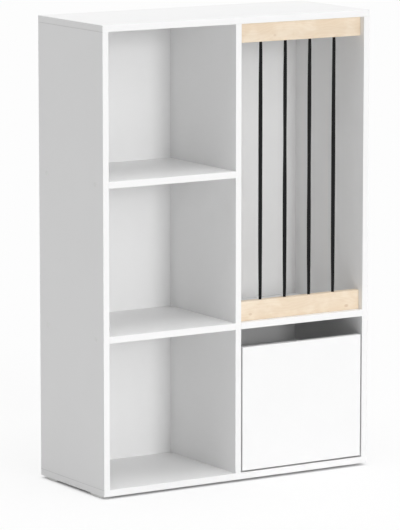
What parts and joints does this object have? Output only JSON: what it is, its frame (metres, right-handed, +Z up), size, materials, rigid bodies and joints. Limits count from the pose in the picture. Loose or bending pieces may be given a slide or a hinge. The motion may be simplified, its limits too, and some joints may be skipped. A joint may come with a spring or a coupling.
{
  "type": "bookshelf",
  "caption": "Upright bookshelf with stacked open cubes beside a tall compartment fenced by elastic cords between birch rails, above a pull-out drawer.",
  "frame": {"origin": "on the floor under the middle of the body", "axes": "+X to the right seen from the front, +Y to the rear, +Z up"},
  "size_m": [0.75, 0.3, 1.12],
  "materials": {
    "white_board": "white melamine laminate with matching edge band",
    "hardboard": "white lacquered hardboard",
    "birch": "clear lacquered pale birch",
    "elastic": "woven black elastic",
    "foot_plastic": "moulded white plastic",
    "cap_plastic": "moulded white plastic",
    "zinc_screw": "bright zinc plate",
    "zinc_cam": "die-cast zinc",
    "beech": "bare beech",
    "nylon": "natural nylon",
    "runner_steel": "white epoxy coat",
    "axle_steel": "bright riveted steel"
  },
  "bodies": {
    "carcass": {"top_panel": "white_board", "bottom_panel": "white_board", "side_panel_left": "white_board", "side_panel_right": "white_board", "centre_divider": "white_board", "shelf_left_upper": "white_board", "shelf_left_lower": "white_board", "shelf_right": "white_board", "back_panel_left": "hardboard", "back_panel_right": "hardboard", "rail_upper": "birch", "rail_lower": "birch", "elastic_cord_1": "elastic", "elastic_cord_2": "elastic", "elastic_cord_3": "elastic", "elastic_cord_4": "elastic", "foot_front_left": "foot_plastic", "foot_front_right": "foot_plastic", "foot_rear_left": "foot_plastic", "foot_rear_right": "foot_plastic", "confirmat_screws": "zinc_screw", "screw_caps": "cap_plastic", "cam_housings": "zinc_cam", "cam_bolts": "zinc_screw", "dowels": "beech", "back_nails": "zinc_screw", "rail_screws": "zinc_screw", "foot_screws": "zinc_screw", "cabinet_runner_left": "runner_steel", "cabinet_runner_right": "runner_steel", "cabinet_axles": "axle_steel", "cabinet_runner_screws": "zinc_screw"},
    "drawer": {"drawer_front": "white_board", "drawer_side_left": "white_board", "drawer_side_right": "white_board", "drawer_back": "white_board", "drawer_bottom": "hardboard", "drawer_cam_housings": "zinc_cam", "drawer_cam_bolts": "zinc_screw", "drawer_screws": "zinc_screw", "drawer_runner_left": "runner_steel", "drawer_runner_right": "runner_steel", "drawer_axles": "axle_steel", "drawer_runner_screws": "zinc_screw"},
    "cabinet_roller_left": {"cabinet_roller_left": "nylon"},
    "cabinet_roller_right": {"cabinet_roller_right": "nylon"},
    "drawer_roller_left": {"drawer_roller_left": "nylon"},
    "drawer_roller_right": {"drawer_roller_right": "nylon"}
  },
  "joints": [
    {"name": "drawer_slide", "type": "slide", "parent": "carcass", "child": "drawer", "axis": [0, -1, 0], "range_m": [0, 0.19]},
    {"name": "cabinet_roller_left_spin", "type": "hinge", "parent": "carcass", "child": "cabinet_roller_left", "pos_m": [0.01375, -0.12, 0.0423], "axis": [1, 0, 0], "range_deg": [-5, 1095]},
    {"name": "cabinet_roller_right_spin", "type": "hinge", "parent": "carcass", "child": "cabinet_roller_right", "pos_m": [0.35225, -0.12, 0.0423], "axis": [1, 0, 0], "range_deg": [-5, 1095]},
    {"name": "drawer_roller_left_spin", "type": "hinge", "parent": "drawer", "child": "drawer_roller_left", "pos_m": [0.01375, 0.104, 0.0423], "axis": [1, 0, 0], "range_deg": [-5, 1095]},
    {"name": "drawer_roller_right_spin", "type": "hinge", "parent": "drawer", "child": "drawer_roller_right", "pos_m": [0.35225, 0.104, 0.0423], "axis": [1, 0, 0], "range_deg": [-5, 1095]}
  ],
  "couplings": [
    {"joint": "cabinet_roller_left_spin", "follows": "drawer_slide", "rad_per_m": 100},
    {"joint": "cabinet_roller_right_spin", "follows": "drawer_slide", "rad_per_m": 100},
    {"joint": "drawer_roller_left_spin", "follows": "drawer_slide", "rad_per_m": 100},
    {"joint": "drawer_roller_right_spin", "follows": "drawer_slide", "rad_per_m": 100}
  ]
}
